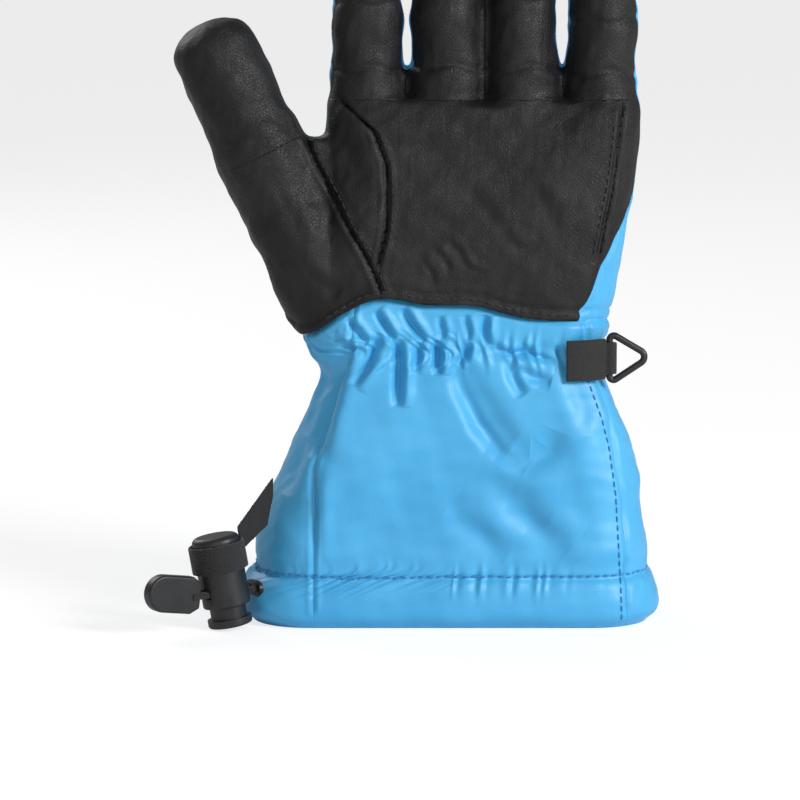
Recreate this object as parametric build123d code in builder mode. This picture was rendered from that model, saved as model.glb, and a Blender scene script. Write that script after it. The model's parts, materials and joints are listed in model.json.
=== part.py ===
from build123d import *
import math
import os

# Left-hand cryogenic glove, standing upright on its gauntlet hem, in millimetres.
# +Z runs from the hem to the fingertips, the palm faces -Y and the thumb points to -X.
# The origin is on the floor at the middle of the hem.
os.makedirs("parts", exist_ok=True)

# ---- plies, from the outside in -------------------------------------------------
ply_gap = 0.15
nylon_ply = 1.0
leather_ply = 1.2
membrane_ply = 0.4
insulation_ply = 3.4
lining_ply = 0.8
seam_gap = 0.2

# ---- gauntlet -------------------------------------------------------------------
hem_width = 165.0
hem_depth = 66.0
hem_corner = 26.0
hem_height = 20.0
facing_ply = 1.0
tunnel_room = 3.9
flare_width = 152.0
flare_depth = 62.0
flare_z = 44.0
forearm_width = 130.0
forearm_depth = 56.0
forearm_z = 79.0
wrist_width = 112.0
wrist_depth = 51.0
wrist_z = 106.0
wrist_shift = 4.0
cuff_top_width = 121.0
cuff_top_depth = 47.0
cuff_top_z = 118.0
elastic_width = 7.0
elastic_ply = 1.1

# ---- hand -----------------------------------------------------------------------
palm_width = 124.0
palm_depth = 45.0
palm_shift = 8.0
palm_z = 152.0
knuckle_z = 212.0
knuckle_width = 125.0
knuckle_depth = 31.6
knuckle_shift = 13.0
side_seam_y = -2.0

# ---- fingers --------------------------------------------------------------------
finger_radius = 14.2
finger_pitch = 31.0
finger_lengths = {"index": 80.0, "middle": 92.0, "ring": 84.0, "little": 64.0}
socket_gap = 0.35
flex_limit = 45.0
rim_margin = 0.6

# ---- thumb ----------------------------------------------------------------------
thumb_lean = 24.6
thumb_radius = 16.6
thumb_length = 52.0
thumb_x = -77.0
thumb_y = -4.0
thumb_z = 190.0
thumb_base_length = 84.0
web_half_depth = 10.0

# ---- drawcord, cord lock and pull tab -------------------------------------------
cord_radius = 1.5
cord_spacing = 3.6
cord_z = 14.6
exit_angle = 215.0
eyelet_radius = 3.4
eyelet_ply = 0.7
lock_reach = 40.5
lock_lean = 10.0
lock_radius = 9.5
lock_top = 23.0
lock_bottom = -5.2
lock_bore = 7.3
lock_roof = 2.6
plunger_radius = 7.2
plunger_travel = 3.0
plunger_top = 13.5
flange_radius = 8.8
flange_ply = 3.2
flange_drop = 4.9
cord_clearance = 0.3
pocket_radius = 5.2
pocket_depth = 5.0
spring_radius = 4.2
spring_wire = 0.45
spring_pitch = 1.15
spring_turns = 4
tab_length = 24.0
tab_height = 14.8
tab_ply = 5.2
tab_tilt = 9.0
tab_start = 3.0

# ---- webbing fittings -----------------------------------------------------------
webbing_ply = 1.5
strap_root_height = 17.0
strap_root_z = 50.0
strap_reach = 23.0
sleeve_height = 11.0
ring_tab_height = 16.4
ring_loop_height = 12.6
ring_wire = 1.35
ring_bar_x = 62.4
ring_bar_y = -17.2
ring_z = 106.2
ring_height = 20.4
ring_reach = 16.2
ring_bar_bend = 1.7
ring_nose_bend = 2.8
loop_gap = 0.45
loop_ply = 1.2


# Depth in front of the glove from which the outlines below are cut.
reach_front = 80.0


# ---- shapes shared by the plies -------------------------------------------------
def save(piece, name):
    """Label one piece and write it to its own file."""
    piece.part.label = name
    export_step(piece.part, f"parts/{name}.step")


def tube_of(sections, inset):
    """Solid through rounded rectangles, each side moved in by one inset."""
    with BuildPart() as solid:
        for height, shift, width, depth, corner in sections:
            with BuildSketch(Plane.XY.offset(height)):
                with Locations((shift, 0)):
                    RectangleRounded(width - 2 * inset, depth - 2 * inset, corner - inset)
        loft()
    return solid.part


def hem_solid(inset, low, high):
    """Straight rounded prism of the hem between two heights."""
    with BuildPart() as solid:
        with BuildSketch(Plane.XY.offset(low)):
            RectangleRounded(hem_width - 2 * inset, hem_depth - 2 * inset, hem_corner - inset)
        extrude(amount=high - low)
    return solid.part


cuff_sections = [
    (hem_height, 0.0, hem_width, hem_depth, hem_corner),
    (flare_z, 1.0, flare_width, flare_depth, 25.0),
    (forearm_z, wrist_shift, forearm_width, forearm_depth, 24.0),
    (wrist_z, wrist_shift, wrist_width, wrist_depth, 23.0),
    (cuff_top_z, 1.0, cuff_top_width, cuff_top_depth, 21.0),
]


def cuff_solid(inset):
    """Gauntlet above the hem."""
    return tube_of(cuff_sections, inset)


thumb_axis = Vector(-math.sin(math.radians(thumb_lean)), 0, math.cos(math.radians(thumb_lean)))
thumb_side = Vector(math.cos(math.radians(thumb_lean)), 0, math.sin(math.radians(thumb_lean)))
thumb_knuckle = Vector(thumb_x, thumb_y, thumb_z)
thumb_wall = thumb_radius + socket_gap + leather_ply
rim_slope = math.radians(flex_limit)


def rim_plane(knuckle, along, drop):
    """Slanted plane under a knuckle that the bending finger clears on the palm side."""
    palm_side = Vector(0, -1, 0)
    normal = along * math.cos(rim_slope) + palm_side * math.sin(rim_slope)
    return Plane(origin=knuckle - normal * drop, z_dir=normal)


def hand_solid(inset):
    """Palm slab, thumb root and the web between them, closed under the knuckles."""
    top = knuckle_z - inset
    sections = [
        (cuff_top_z, 1.0, cuff_top_width, cuff_top_depth, 21.0),
        (palm_z, palm_shift, palm_width, palm_depth, 20.0),
        (top, knuckle_shift, knuckle_width, knuckle_depth, 15.0),
    ]
    knuckle_row = Vector(knuckle_shift, 0, knuckle_z)
    with BuildPart() as slab:
        add(tube_of(sections, inset))
        split(bisect_by=rim_plane(knuckle_row, Vector(0, 0, 1), rim_margin + inset), keep=Keep.BOTTOM)
    root_plane = Plane(origin=thumb_knuckle - thumb_axis * thumb_base_length, z_dir=thumb_axis)
    with BuildPart() as root:
        with BuildSketch(root_plane):
            Circle(thumb_wall - inset)
        extrude(amount=thumb_base_length - inset)
        split(bisect_by=rim_plane(thumb_knuckle, thumb_axis, rim_margin + inset), keep=Keep.BOTTOM)
    with BuildPart() as web:
        with BuildSketch(Plane.XZ):
            with BuildLine():
                Polyline(
                    (-40, cuff_top_z + 8), (-40, knuckle_z - 14 - inset), (-52, knuckle_z - 15 - inset),
                    (-66, knuckle_z - 22 - inset), (-70, knuckle_z - 30 - inset), (-45, cuff_top_z + 8),
                    close=True,
                )
            make_face()
        extrude(amount=web_half_depth - inset, both=True)
    with BuildPart() as solid:
        add(slab.part)
        add(root.part)
        add(web.part)
        split(bisect_by=Plane.XY.offset(cuff_top_z + seam_gap), keep=Keep.TOP)
    return solid.part


finger_names = list(finger_lengths)
finger_knuckles = {
    name: Vector(knuckle_shift + (index - 1.5) * finger_pitch, 0, knuckle_z)
    for index, name in enumerate(finger_names)
}
finger_hole = finger_radius - leather_ply - membrane_ply - insulation_ply - lining_ply - 3 * ply_gap
thumb_hole = thumb_radius - leather_ply - membrane_ply - insulation_ply - lining_ply - 3 * ply_gap


def cut_sockets():
    """Round the knuckle sockets into the piece being built, with their ways through."""
    for knuckle in finger_knuckles.values():
        with Locations(Location(knuckle)):
            Sphere(finger_radius + socket_gap, mode=Mode.SUBTRACT)
            Cylinder(finger_hole, 2 * finger_radius + 4, mode=Mode.SUBTRACT)
    with Locations(Plane(origin=thumb_knuckle, z_dir=thumb_axis)):
        Sphere(thumb_radius + socket_gap, mode=Mode.SUBTRACT)


def hand_layer(outer, ply):
    """One ply of the hand, between two insets, with the knuckle sockets cut through it."""
    with BuildPart() as layer:
        add(hand_solid(outer))
        add(hand_solid(outer + ply), mode=Mode.SUBTRACT)
        cut_sockets()
    return layer.part


def cuff_layer(outer, ply, low, high):
    """One ply of the gauntlet above the hem, trimmed between two heights."""
    with BuildPart() as layer:
        add(cuff_solid(outer))
        add(cuff_solid(outer + ply), mode=Mode.SUBTRACT)
        split(bisect_by=Plane.XY.offset(low), keep=Keep.TOP)
        split(bisect_by=Plane.XY.offset(high), keep=Keep.BOTTOM)
    return layer.part


def front_prism(points, reach, back):
    """Prism through a front-view outline, from well before the glove back to one depth."""
    with BuildPart() as prism:
        with BuildSketch(Plane.XZ.offset(-back)):
            with BuildLine():
                Polyline(*points, close=True)
            make_face()
        extrude(amount=reach + back)
    return prism.part


# ---- hand shell: leather palm side, blue back -----------------------------------
hand_shell = hand_layer(0, leather_ply)
strip_line = [(56.0, cuff_top_z), (58.0, 150.0), (62.0, 180.0), (66.0, knuckle_z + 2)]
thumb_line = [(-28.0, cuff_top_z), (-28.0, 130.0), (-44.0, 160.0), (-54.0, knuckle_z + 2)]
gusset_line = [(-27.6, cuff_top_z), (-27.6, 140.0), (-25.0, 170.0), (-30.0, 196.0), (-53.0, knuckle_z + 2)]

palm_outline = [(x + seam_gap, z) for x, z in gusset_line] + [
    (x - seam_gap, z) for x, z in reversed(strip_line)
]
strip_outline = strip_line + [(100.0, knuckle_z + 2), (100.0, cuff_top_z)]
gusset_outline = [(-27.8, cuff_top_z + 14), (-27.8, 140.0), (-25.2, 170.0), (-30.2, 196.0), (-53.2, knuckle_z + 1)]
gusset_outline = gusset_outline + [(-54.0 + seam_gap, knuckle_z + 1), (-44.0 + seam_gap, 160.0)]
thumb_outline = thumb_line + [(-130.0, knuckle_z + 2), (-130.0, cuff_top_z)]

for piece_name, outline in (
    ("palm_leather", palm_outline),
    ("little_side_leather", strip_outline),
    ("thumb_gusset", gusset_outline),
    ("thumb_root_leather", thumb_outline),
):
    with BuildPart() as front_piece:
        add(hand_shell)
        add(front_prism(outline, reach_front, side_seam_y - seam_gap / 2), mode=Mode.INTERSECT)
    save(front_piece, piece_name)

with BuildPart() as thumb_back:
    add(hand_shell)
    add(front_prism(thumb_outline, reach_front, reach_front), mode=Mode.INTERSECT)
    split(bisect_by=Plane.XZ.offset(-(side_seam_y + seam_gap / 2)), keep=Keep.BOTTOM)
save(thumb_back, "thumb_root_back_leather")

back_outline = [(x + seam_gap, z) for x, z in thumb_line] + [(100.0, knuckle_z + 2), (100.0, cuff_top_z)]
with BuildPart() as hand_back:
    add(hand_shell)
    add(front_prism(back_outline, reach_front, reach_front), mode=Mode.INTERSECT)
    split(bisect_by=Plane.XZ.offset(-(side_seam_y + seam_gap / 2)), keep=Keep.BOTTOM)
save(hand_back, "hand_back_shell")

# ---- hand plies inside the shell ------------------------------------------------
membrane_inset = leather_ply + ply_gap
insulation_inset = membrane_inset + membrane_ply + ply_gap
lining_inset = insulation_inset + insulation_ply + ply_gap

with BuildPart() as hand_membrane:
    add(hand_layer(membrane_inset, membrane_ply))
save(hand_membrane, "hand_membrane")

hand_batt = hand_layer(insulation_inset, insulation_ply)
with BuildPart() as palm_insulation:
    add(hand_batt)
    split(bisect_by=Plane.XZ.offset(-(side_seam_y - seam_gap / 2)), keep=Keep.TOP)
save(palm_insulation, "palm_insulation")
with BuildPart() as back_insulation:
    add(hand_batt)
    split(bisect_by=Plane.XZ.offset(-(side_seam_y + seam_gap / 2)), keep=Keep.BOTTOM)
save(back_insulation, "hand_back_insulation")

with BuildPart() as hand_lining:
    add(hand_layer(lining_inset, lining_ply))
save(hand_lining, "hand_lining")


# ---- fingers and thumb ----------------------------------------------------------
def stall_solid(knuckle, side, radius, length, inset):
    """Closed finger shape: a ball at the knuckle, a straight tube and a round tip."""
    profile_plane = Plane(origin=knuckle, x_dir=side, z_dir=(0, -1, 0))
    r = radius - inset
    tube_top = length - radius
    half = math.sqrt(0.5)
    with BuildPart() as solid:
        with BuildSketch(profile_plane):
            with BuildLine():
                ThreePointArc((0, -r), (r * half, -r * half), (r, 0))
                Line((r, 0), (r, tube_top))
                ThreePointArc((r, tube_top), (r * half, tube_top + r * half), (0, tube_top + r))
                Line((0, tube_top + r), (0, -r))
            make_face()
        revolve(axis=Axis(knuckle, profile_plane.y_dir))
    return solid.part


def stall_layer(knuckle, side, along, radius, length, outer, ply, hole):
    """One ply of a finger, open at the knuckle so that the hand's hollow runs on."""
    with BuildPart() as layer:
        add(stall_solid(knuckle, side, radius, length, outer))
        add(stall_solid(knuckle, side, radius, length, outer + ply), mode=Mode.SUBTRACT)
        with BuildSketch(Plane(origin=knuckle - along * radius, z_dir=along)):
            Circle(hole)
        extrude(amount=radius, mode=Mode.SUBTRACT)
    return layer.part


def make_stall(name, knuckle, side, along, radius, length, hole, back_name):
    """All plies of one finger: palm shell, back shell, membrane, insulation and lining."""
    split_plane = Plane(origin=knuckle, z_dir=(0, 1, 0))
    shell = stall_layer(knuckle, side, along, radius, length, 0, leather_ply, hole)
    with BuildPart() as front:
        add(shell)
        split(bisect_by=split_plane.offset(-seam_gap / 2), keep=Keep.BOTTOM)
    save(front, f"{name}_leather")
    with BuildPart() as back:
        add(shell)
        split(bisect_by=split_plane.offset(seam_gap / 2), keep=Keep.TOP)
    save(back, f"{name}_{back_name}")
    for ply_name, outer, ply in (
        ("membrane", membrane_inset, membrane_ply),
        ("insulation", insulation_inset, insulation_ply),
        ("lining", lining_inset, lining_ply),
    ):
        with BuildPart() as inner:
            add(stall_layer(knuckle, side, along, radius, length, outer, ply, hole))
        save(inner, f"{name}_{ply_name}")


for finger in finger_names:
    make_stall(
        f"{finger}_finger", finger_knuckles[finger], Vector(1, 0, 0), Vector(0, 0, 1),
        finger_radius, finger_lengths[finger], finger_hole, "back_shell",
    )
make_stall("thumb", thumb_knuckle, thumb_side, thumb_axis, thumb_radius, thumb_length, thumb_hole, "back_leather")

# ---- gauntlet panels ------------------------------------------------------------
with BuildPart() as cuff_shell_solid:
    add(cuff_layer(0, nylon_ply, hem_height, cuff_top_z))
    add(hem_solid(0, facing_ply + ply_gap, hem_height))
    add(hem_solid(nylon_ply, 0, hem_height), mode=Mode.SUBTRACT)
cuff_shell = cuff_shell_solid.part

front_outline = [
    (-54.4, 0.0), (-54.4, 63.0), (-40.0, 107.0), (-36.0, cuff_top_z + 1),
    (57.0, cuff_top_z + 1), (61.0, 83.0), (66.8, 53.0), (69.4, 0.0),
]
back_cut = [
    (-54.4 - seam_gap, -1.0), (-54.4 - seam_gap, 63.0), (-40.0 - seam_gap, 107.0),
    (-36.0 - seam_gap, cuff_top_z + 1), (57.0 + seam_gap, cuff_top_z + 1), (61.0 + seam_gap, 83.0),
    (66.8 + seam_gap, 53.0), (69.4 + seam_gap, -1.0),
]

# Where the two cord ends leave the hem: out of the front left corner, side by side.
exit_out = Vector(math.cos(math.radians(exit_angle)), math.sin(math.radians(exit_angle)), 0)
exit_side = Vector(-exit_out.Y, exit_out.X, 0)
corner_middle = Vector(hem_corner - hem_width / 2, hem_corner - hem_depth / 2, cord_z)
strand_offsets = (-cord_spacing / 2, cord_spacing / 2)


def along_exit(distance, offset, rise=0.0):
    """Point at a distance from the corner's middle along the exit, beside it and above it."""
    return corner_middle + exit_out * distance + exit_side * offset + Vector(0, 0, rise)


def exit_slot(start, end, half_height):
    """Flat-sided way for both cord ends, between two distances along the exit."""
    with BuildPart() as slot:
        with BuildSketch(Plane(origin=along_exit(start, 0), x_dir=exit_side, z_dir=exit_out)):
            SlotCenterToCenter(cord_spacing, 2 * half_height)
        extrude(amount=end - start)
    return slot.part


with BuildPart() as cuff_front:
    add(cuff_shell)
    add(front_prism(front_outline, reach_front, 0), mode=Mode.INTERSECT)
save(cuff_front, "gauntlet_front_panel")

with BuildPart() as cuff_back:
    add(cuff_shell)
    add(front_prism(back_cut, reach_front, seam_gap), mode=Mode.SUBTRACT)
    add(exit_slot(hem_corner - 4, hem_corner + 4, cord_radius + cord_clearance), mode=Mode.SUBTRACT)
save(cuff_back, "gauntlet_back_panel")

# ---- hem facing: the turned-up strip that makes the drawcord tunnel -------------
facing_inset = nylon_ply + tunnel_room
with BuildPart() as hem_facing:
    add(hem_solid(0, 0, facing_ply))
    add(hem_solid(facing_inset, 0, hem_height))
    add(hem_solid(facing_inset + facing_ply, 0, hem_height), mode=Mode.SUBTRACT)
save(hem_facing, "hem_facing")

# ---- gauntlet insulation, lining and wrist elastic ------------------------------
cuff_batt_inset = nylon_ply + ply_gap
cuff_lining_inset = cuff_batt_inset + insulation_ply + ply_gap
batt_low = hem_height + 2 * seam_gap
batt_high = cuff_top_z - seam_gap
elastic_low = wrist_z - elastic_width / 2
elastic_high = wrist_z + elastic_width / 2
elastic_gap = 0.3

with BuildPart() as cuff_batt_solid:
    add(cuff_layer(cuff_batt_inset, insulation_ply, batt_low, batt_high))
    add(
        cuff_layer(nylon_ply / 2, cuff_batt_inset + elastic_ply + ply_gap - nylon_ply / 2,
                   elastic_low - elastic_gap, elastic_high + elastic_gap),
        mode=Mode.SUBTRACT,
    )
cuff_batt = cuff_batt_solid.part
with BuildPart() as cuff_front_batt:
    add(cuff_batt)
    split(bisect_by=Plane.XZ.offset(seam_gap / 2), keep=Keep.TOP)
save(cuff_front_batt, "gauntlet_front_insulation")
with BuildPart() as cuff_back_batt:
    add(cuff_batt)
    split(bisect_by=Plane.XZ.offset(-seam_gap / 2), keep=Keep.BOTTOM)
save(cuff_back_batt, "gauntlet_back_insulation")

with BuildPart() as wrist_elastic:
    add(cuff_layer(cuff_batt_inset, elastic_ply, elastic_low, elastic_high))
save(wrist_elastic, "wrist_elastic")

with BuildPart() as cuff_lining:
    add(cuff_layer(cuff_lining_inset, lining_ply, batt_low, batt_high))
save(cuff_lining, "gauntlet_lining")

# ---- hem drawcord: one loop through the tunnel, its two ends out to the lock ----
tunnel_inset = nylon_ply + tunnel_room / 2
cord_half_width = hem_width / 2 - tunnel_inset
cord_half_depth = hem_depth / 2 - tunnel_inset
cord_corner = hem_corner - tunnel_inset
lock_middle = along_exit(lock_reach, 0)
strand_end = lock_reach - lock_radius + 2.0

with BuildPart() as hem_drawcord:
    with BuildLine() as loop_path:
        first = Vector(-cord_half_width + cord_corner, -cord_half_depth, cord_z)
        front = Line(first, (cord_half_width - cord_corner, -cord_half_depth, cord_z))
        right_front = TangentArc(front @ 1, (cord_half_width, cord_corner - cord_half_depth, cord_z), tangent=front % 1)
        right = Line(right_front @ 1, (cord_half_width, cord_half_depth - cord_corner, cord_z))
        right_back = TangentArc(right @ 1, (cord_half_width - cord_corner, cord_half_depth, cord_z), tangent=right % 1)
        back = Line(right_back @ 1, (cord_corner - cord_half_width, cord_half_depth, cord_z))
        left_back = TangentArc(back @ 1, (-cord_half_width, cord_half_depth - cord_corner, cord_z), tangent=back % 1)
        left = Line(left_back @ 1, (-cord_half_width, cord_corner - cord_half_depth, cord_z))
        left_front = TangentArc(left @ 1, first, tangent=left % 1)
    with BuildSketch(Plane(origin=first, z_dir=front % 0)):
        Circle(cord_radius)
    sweep()
    for offset in strand_offsets:
        with BuildSketch(Plane(origin=along_exit(cord_corner, offset), z_dir=exit_out)):
            Circle(cord_radius)
        extrude(amount=strand_end - cord_corner)
save(hem_drawcord, "hem_drawcord")

# ---- eyelet plate over the cord exit --------------------------------------------
with BuildPart() as eyelet:
    with BuildSketch(Plane(origin=along_exit(hem_corner - 3.0, 0), x_dir=exit_side, z_dir=exit_out)):
        SlotCenterToCenter(cord_spacing, 2 * eyelet_radius)
    extrude(amount=3.0 + eyelet_ply + 0.6)
    add(hem_solid(-0.1, 0, hem_height + 4), mode=Mode.SUBTRACT)
    add(exit_slot(hem_corner - 4, hem_corner + 6, cord_radius + cord_clearance), mode=Mode.SUBTRACT)
save(eyelet, "cord_eyelet")

# ---- cord lock: barrel, plunger and spring --------------------------------------
lean = math.radians(lock_lean)
lock_up = Vector(-math.sin(lean), 0, math.cos(lean))
lock_x = Vector(math.cos(lean), 0, math.sin(lean))


def lock_plane(rise):
    """Plane across the lock's axis at a height above the cord bore."""
    return Plane(origin=lock_middle + lock_up * rise, x_dir=lock_x, z_dir=lock_up)


def cord_way(start, end, low, high):
    """Slot across the lock for both cord ends, between two heights about the cord."""
    with BuildPart() as way:
        with BuildSketch(Plane(origin=along_exit(lock_reach + start, 0), x_dir=exit_side, z_dir=exit_out)):
            with Locations((0, (low + high) / 2)):
                Rectangle(cord_spacing + 2 * (cord_radius + cord_clearance), high - low)
        extrude(amount=end - start)
    return way.part


half_way = cord_radius + cord_clearance
with BuildPart() as lock_body:
    with BuildSketch(lock_plane(lock_bottom)):
        Circle(lock_radius)
    extrude(amount=lock_top - lock_bottom)
    fillet(lock_body.edges().filter_by(GeomType.CIRCLE).sort_by(Axis(lock_middle, lock_up))[-1], 2.4)
    fillet(lock_body.edges().filter_by(GeomType.CIRCLE).sort_by(Axis(lock_middle, lock_up))[0], 0.8)
    with BuildSketch(lock_plane(lock_bottom)):
        Circle(lock_bore)
    extrude(amount=lock_top - lock_bottom - lock_roof, mode=Mode.SUBTRACT)
    add(cord_way(-lock_radius - 3, lock_radius + 3, -half_way, half_way), mode=Mode.SUBTRACT)
save(lock_body, "cord_lock_body")

window_high = half_way
window_low = window_high - 2 * cord_radius - plunger_travel - 3 * cord_clearance
flange_low = lock_bottom - flange_drop - flange_ply
with BuildPart() as plunger:
    with BuildSketch(lock_plane(flange_low + flange_ply)):
        Circle(plunger_radius)
    extrude(amount=plunger_top - flange_low - flange_ply)
    with BuildSketch(lock_plane(flange_low)):
        Circle(flange_radius)
    extrude(amount=flange_ply)
    fillet(plunger.edges().filter_by(GeomType.CIRCLE).sort_by(Axis(lock_middle, lock_up))[0], 1.0)
    with BuildSketch(lock_plane(plunger_top - pocket_depth)):
        Circle(pocket_radius)
    extrude(amount=pocket_depth, mode=Mode.SUBTRACT)
    add(cord_way(-lock_radius, lock_radius, window_low, window_high), mode=Mode.SUBTRACT)
save(plunger, "cord_lock_plunger")

spring_floor = plunger_top - pocket_depth + spring_wire + 0.1
with BuildPart() as spring:
    with BuildLine():
        coil = Helix(
            pitch=spring_pitch, height=spring_pitch * spring_turns, radius=spring_radius,
            center=lock_plane(spring_floor).origin, direction=lock_up,
        )
    with BuildSketch(Plane(origin=coil @ 0, z_dir=coil % 0)):
        Circle(spring_wire)
    sweep(is_frenet=True)
save(spring, "cord_lock_spring")

# ---- cord ends beyond the lock and their pull tab -------------------------------
tail_start = strand_end + 0.3
tail_end = lock_reach + lock_radius + tab_start + 4.0
with BuildPart() as cord_tails:
    for offset in strand_offsets:
        with BuildSketch(Plane(origin=along_exit(tail_start, offset), z_dir=exit_out)):
            Circle(cord_radius)
        extrude(amount=tail_end - tail_start)
save(cord_tails, "cord_tails")

tilt = math.radians(tab_tilt)
tab_along = exit_out * math.cos(tilt) + Vector(0, 0, 1) * math.sin(tilt)
tab_root = along_exit(lock_reach + lock_radius + tab_start, 0)
with BuildPart() as pull_tab:
    with BuildSketch(Plane(origin=tab_root - exit_side * (tab_ply / 2), x_dir=tab_along, z_dir=exit_side)):
        with BuildLine():
            neck = tab_height * 0.33
            half_tab = tab_height / 2
            Polyline((0, neck), (0, -neck))
            Line((0, -neck), (4.0, -half_tab))
            Line((4.0, -half_tab), (tab_length - half_tab, -half_tab))
            ThreePointArc((tab_length - half_tab, -half_tab), (tab_length, 0), (tab_length - half_tab, half_tab))
            Line((tab_length - half_tab, half_tab), (4.0, half_tab))
            Line((4.0, half_tab), (0, neck))
        make_face()
    extrude(amount=tab_ply)
    fillet(pull_tab.edges(), 1.0)
    for offset in strand_offsets:
        with BuildSketch(Plane(origin=along_exit(tail_start, offset), z_dir=exit_out)):
            Circle(cord_radius + 0.05)
        extrude(amount=tail_end + 0.1 - tail_start, mode=Mode.SUBTRACT)
save(pull_tab, "pull_tab")

# ---- strap: sewn into the side seam, wrapped round the top of the lock ----------
sleeve_inner = lock_radius + 0.3
sleeve_low = lock_top - 3.0 - sleeve_height
with BuildPart() as lock_strap:
    with BuildSketch(lock_plane(sleeve_low)):
        Circle(sleeve_inner + webbing_ply)
    extrude(amount=sleeve_height)
    band_plane = Plane(origin=lock_middle - exit_side * (webbing_ply / 2), x_dir=-exit_out, z_dir=exit_side)
    with BuildSketch(band_plane):
        with BuildLine():
            root_middle = strap_root_z - cord_z
            Polyline(
                (0, sleeve_low + 1.0), (0, sleeve_low + sleeve_height - 1.0),
                (strap_reach, root_middle + strap_root_height / 2),
                (strap_reach, root_middle - strap_root_height / 2), close=True,
            )
        make_face()
    extrude(amount=webbing_ply)
    with BuildSketch(lock_plane(sleeve_low - 4)):
        Circle(sleeve_inner)
    extrude(amount=sleeve_height + 12, mode=Mode.SUBTRACT)
    add(cuff_solid(-0.3), mode=Mode.SUBTRACT)
save(lock_strap, "lock_strap")

# ---- webbing tab at the wrist and its triangle ring -----------------------------
with BuildPart() as ring_tab:
    with BuildSketch(Plane.XY.offset(ring_z - ring_tab_height / 2)):
        with BuildLine() as tab_path:
            Spline((45.0, -wrist_depth / 2 - 1.2), (52.0, -wrist_depth / 2 + 0.7), (ring_bar_x - 1.0, ring_bar_y - 1.6))
        trace(line_width=webbing_ply)
        with Locations((ring_bar_x, ring_bar_y)):
            Circle(ring_wire + loop_gap + loop_ply, mode=Mode.SUBTRACT)
    extrude(amount=ring_tab_height)
    with BuildSketch(Plane.XY.offset(ring_z - ring_loop_height / 2)):
        with Locations((ring_bar_x, ring_bar_y)):
            Circle(ring_wire + loop_gap + loop_ply + 0.05)
            Circle(ring_wire + loop_gap, mode=Mode.SUBTRACT)
    extrude(amount=ring_loop_height)
save(ring_tab, "ring_tab")

with BuildPart() as triangle_ring:
    low_corner = Vector(ring_bar_x, ring_bar_y, ring_z - ring_height / 2)
    high_corner = Vector(ring_bar_x, ring_bar_y, ring_z + ring_height / 2)
    nose = Vector(ring_bar_x + ring_reach, ring_bar_y, ring_z + 0.6)
    with BuildLine() as ring_path:
        bends = [ring_bar_bend, ring_bar_bend, ring_nose_bend]
        ring_line = FilletPolyline(low_corner, high_corner, nose, radius=bends, close=True)
    with BuildSketch(Plane(origin=ring_line @ 0, z_dir=ring_line % 0)):
        Circle(ring_wire)
    sweep()
save(triangle_ring, "triangle_ring")
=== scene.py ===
import bmesh
import bpy
import json
import math
import numpy as np
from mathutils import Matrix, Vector
from mathutils.bvhtree import BVHTree


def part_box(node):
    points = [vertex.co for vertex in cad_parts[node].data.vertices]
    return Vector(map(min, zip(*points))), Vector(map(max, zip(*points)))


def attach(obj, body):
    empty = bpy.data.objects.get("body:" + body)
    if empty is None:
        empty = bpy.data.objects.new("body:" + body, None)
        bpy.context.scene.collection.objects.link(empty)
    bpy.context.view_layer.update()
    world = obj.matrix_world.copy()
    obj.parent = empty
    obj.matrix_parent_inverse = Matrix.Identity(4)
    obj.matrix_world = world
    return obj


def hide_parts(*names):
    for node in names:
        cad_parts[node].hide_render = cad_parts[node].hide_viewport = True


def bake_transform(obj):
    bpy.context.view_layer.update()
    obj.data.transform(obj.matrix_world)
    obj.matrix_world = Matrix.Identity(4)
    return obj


# A left-hand cryogenic glove standing on its hem. Lengths below are millimetres until a mesh is
# made, +Z runs to the fingertips, the palm faces -Y and the thumb points to -X.
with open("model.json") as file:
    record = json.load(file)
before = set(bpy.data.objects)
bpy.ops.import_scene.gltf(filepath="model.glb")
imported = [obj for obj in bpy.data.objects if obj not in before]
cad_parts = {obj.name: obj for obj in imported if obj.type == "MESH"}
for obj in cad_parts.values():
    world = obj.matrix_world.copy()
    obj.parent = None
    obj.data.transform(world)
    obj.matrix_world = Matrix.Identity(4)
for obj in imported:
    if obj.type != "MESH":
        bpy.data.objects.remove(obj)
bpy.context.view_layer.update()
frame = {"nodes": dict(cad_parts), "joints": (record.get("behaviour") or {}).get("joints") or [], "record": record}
MM = 0.001
EYE_TILT = math.radians(8.3)


def node_box(name):
    """Lowest and highest corner of a CAD node, in millimetres."""
    low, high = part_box(name)
    return np.array(low) / MM, np.array(high) / MM


# ---- outer form -------------------------------------------------------------------
LEVELS = [0, 4, 10, 17, 22, 30, 40, 50, 62, 79, 96, 104, 109, 114, 120, 135, 150, 165, 180, 196, 212]
LEFT = [-80, -83.2, -84, -81.4, -78.2, -78, -76.6, -72.8, -68, -61.2, -54.5, -51.6, -52.2, -55.5,
        -58, -57, -54.5, -52, -50.5, -49.5, -49]
RIGHT = [79.5, 82.2, 82.6, 80.6, 79, 78.4, 76.6, 75.2, 74.4, 70.6, 62.8, 59.8, 58.6, 58.6,
         61.5, 65.3, 68.4, 70.8, 73.4, 75, 75.2]
HALF = [31.2, 32.8, 33, 32.2, 31, 31, 30.5, 30, 29.5, 28, 26, 25.2, 24.6, 24,
        23.6, 23.2, 22.6, 21.4, 19.6, 17.6, 15.6]
CORNER = [24, 25, 25.5, 25.5, 25, 25, 25, 25, 24.5, 24, 23, 22.5, 22, 21.5,
          21, 20, 19.5, 19, 18, 16.5, 15]


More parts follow.
